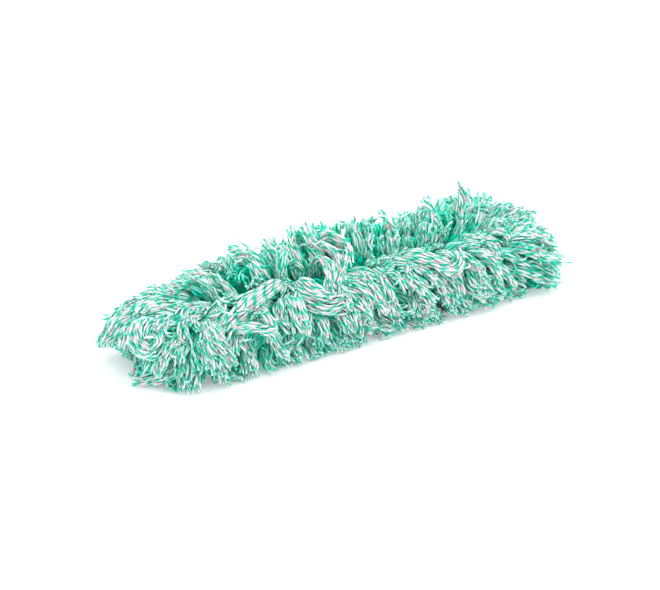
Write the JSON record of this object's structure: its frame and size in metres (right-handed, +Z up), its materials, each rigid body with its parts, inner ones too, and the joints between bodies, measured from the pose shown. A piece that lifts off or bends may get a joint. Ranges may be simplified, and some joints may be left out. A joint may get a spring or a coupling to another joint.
{
  "type": "microfibre duster sleeve",
  "caption": "Slip-on duster sleeve: a flat fabric pocket, open at one end, covered all round in a shaggy pile of twisted green and white microfibre yarn.",
  "frame": {"origin": "on the floor under the sleeve's middle, on the flat underside of the pile", "axes": "+X along the sleeve from its open mouth (-X) to its closed round tip (+X), +Z up, +Y towards the back side"},
  "size_m": [0.573, 0.161, 0.1132],
  "materials": {
    "yarn": "twisted two-tone microfibre yarn, mint green and white, matt",
    "canvas": "woven polyester canvas, matt",
    "tape": "woven cotton tape, matt",
    "elastic": "woven elastic, ribbed",
    "thread": "twisted sewing thread"
  },
  "bodies": {
    "root": {"front_crest_tuft_1": "yarn", "front_crest_tuft_2": "yarn", "front_crest_tuft_3": "yarn", "front_crest_tuft_4": "yarn", "front_crest_tuft_5": "yarn", "back_crest_tuft_1": "yarn", "back_crest_tuft_2": "yarn", "back_crest_tuft_3": "yarn", "back_crest_tuft_4": "yarn", "back_crest_tuft_5": "yarn", "front_shoulder_tuft_1": "yarn", "front_shoulder_tuft_2": "yarn", "front_shoulder_tuft_3": "yarn", "front_shoulder_tuft_4": "yarn", "front_shoulder_tuft_5": "yarn", "back_shoulder_tuft_1": "yarn", "back_shoulder_tuft_2": "yarn", "back_shoulder_tuft_3": "yarn", "back_shoulder_tuft_4": "yarn", "back_shoulder_tuft_5": "yarn", "front_skirt_tuft_1": "yarn", "front_skirt_tuft_2": "yarn", "front_skirt_tuft_3": "yarn", "front_skirt_tuft_4": "yarn", "front_skirt_tuft_5": "yarn", "back_skirt_tuft_1": "yarn", "back_skirt_tuft_2": "yarn", "back_skirt_tuft_3": "yarn", "back_skirt_tuft_4": "yarn", "back_skirt_tuft_5": "yarn", "under_tuft_1": "yarn", "under_tuft_2": "yarn", "under_tuft_3": "yarn", "under_tuft_4": "yarn", "under_tuft_5": "yarn", "tip_shoulder_tuft_1": "yarn", "tip_shoulder_tuft_2": "yarn", "tip_shoulder_tuft_3": "yarn", "tip_skirt_tuft_1": "yarn", "tip_skirt_tuft_2": "yarn", "tip_skirt_tuft_3": "yarn", "tip_crest_tuft": "yarn", "tip_under_tuft": "yarn", "upper_panel": "canvas", "lower_panel": "canvas", "front_binding": "tape", "back_binding": "tape", "tip_binding": "tape", "mouth_hem": "tape", "crest_tape": "tape", "under_tape": "tape", "mouth_elastic": "elastic", "hem_thread_outer": "thread", "hem_thread_inner": "thread", "crest_stitching": "thread", "under_stitching": "thread"}
  },
  "joints": []
}
